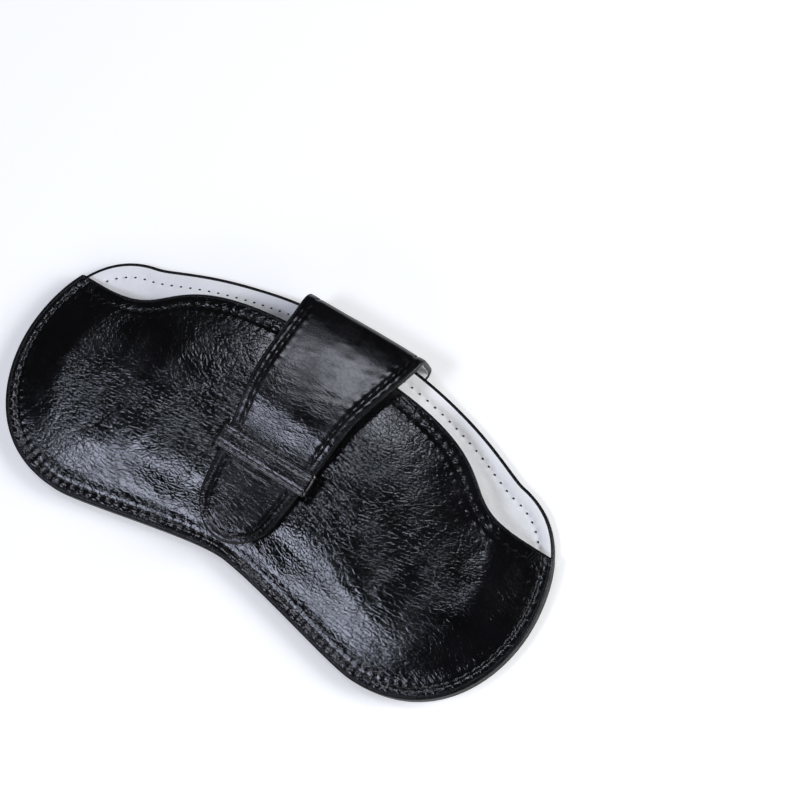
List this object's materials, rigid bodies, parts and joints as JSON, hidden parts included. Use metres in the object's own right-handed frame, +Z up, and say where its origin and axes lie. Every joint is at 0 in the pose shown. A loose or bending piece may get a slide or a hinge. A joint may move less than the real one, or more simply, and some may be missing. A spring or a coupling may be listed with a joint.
{
  "type": "soft pouch glasses case",
  "caption": "Soft black leather pouch for glasses with a white lining, open along its top, closed by a tapering strap that tucks under a keeper loop.",
  "frame": {"origin": "centre of the case's box on the surface that its back lies on", "axes": "+X along the case, +Y towards its open mouth and the strap's fold, +Z up out of the front panel"},
  "size_m": [0.18, 0.0877, 0.0152],
  "materials": {
    "panel_leather": "glossy, finely creased oil-waxed leather with painted edges",
    "strap_leather": "smoother satin leather with painted edges",
    "lining": "smooth white satin",
    "thread": "waxed black thread"
  },
  "bodies": {
    "case": {"back_leather": "panel_leather", "back_lining": "lining", "front_leather": "panel_leather", "front_lining": "lining", "seam_stitches_front": "thread", "seam_stitches_back": "thread", "mouth_stitches": "thread", "back_edge_stitches": "thread", "corner_tack_left": "thread", "corner_tack_right": "thread", "keeper_band": "strap_leather", "keeper_stitches_lower": "thread", "keeper_stitches_upper": "thread", "strap_tail_leather": "strap_leather", "strap_tail_lining": "lining", "strap_tail_stitches": "thread"},
    "strap_riser": {"strap_riser_leather": "strap_leather", "strap_riser_lining": "lining", "strap_riser_stitches_left": "thread", "strap_riser_stitches_right": "thread"},
    "strap_shoulder": {"strap_shoulder_leather": "strap_leather", "strap_shoulder_lining": "lining", "strap_shoulder_stitches_left": "thread", "strap_shoulder_stitches_right": "thread"},
    "strap_upper": {"strap_upper_leather": "strap_leather", "strap_upper_lining": "lining", "strap_upper_stitches_left": "thread", "strap_upper_stitches_right": "thread"},
    "strap_lower": {"strap_lower_leather": "strap_leather", "strap_lower_lining": "lining", "strap_lower_stitches_left": "thread", "strap_lower_stitches_right": "thread"},
    "strap_tongue": {"strap_tongue_leather": "strap_leather", "strap_tongue_lining": "lining", "strap_tongue_stitches": "thread"}
  },
  "joints": [
    {"name": "strap_swing", "type": "hinge", "parent": "case", "child": "strap_riser", "pos_m": [0, 0.04375, 0.00275], "axis": [-1, 0, 0], "range_deg": [0, 45]},
    {"name": "strap_unfold", "type": "hinge", "parent": "strap_riser", "child": "strap_shoulder", "pos_m": [0, 0.04375, 0.01144], "axis": [-1, 0, 0], "range_deg": [0, 75]},
    {"name": "strap_pull", "type": "hinge", "parent": "strap_shoulder", "child": "strap_upper", "pos_m": [0, 0.0389, 0.0147], "axis": [-1, 0, 0], "range_deg": [0, 85]},
    {"name": "arch_knee", "type": "hinge", "parent": "strap_upper", "child": "strap_lower", "pos_m": [0, 0.0192, 0.01183], "axis": [-1, 0, 0], "range_deg": [-170, 0]},
    {"name": "arch_foot", "type": "hinge", "parent": "strap_lower", "child": "strap_tongue", "pos_m": [0, -0.0007, 0.01236], "axis": [-1, 0, 0], "range_deg": [0, 85]}
  ],
  "couplings": [
    {"joint": "strap_unfold", "follows": "strap_swing", "ratio": 1.6666},
    {"joint": "arch_knee", "follows": "strap_pull", "ratio": -2},
    {"joint": "arch_foot", "follows": "strap_pull", "ratio": 1}
  ]
}
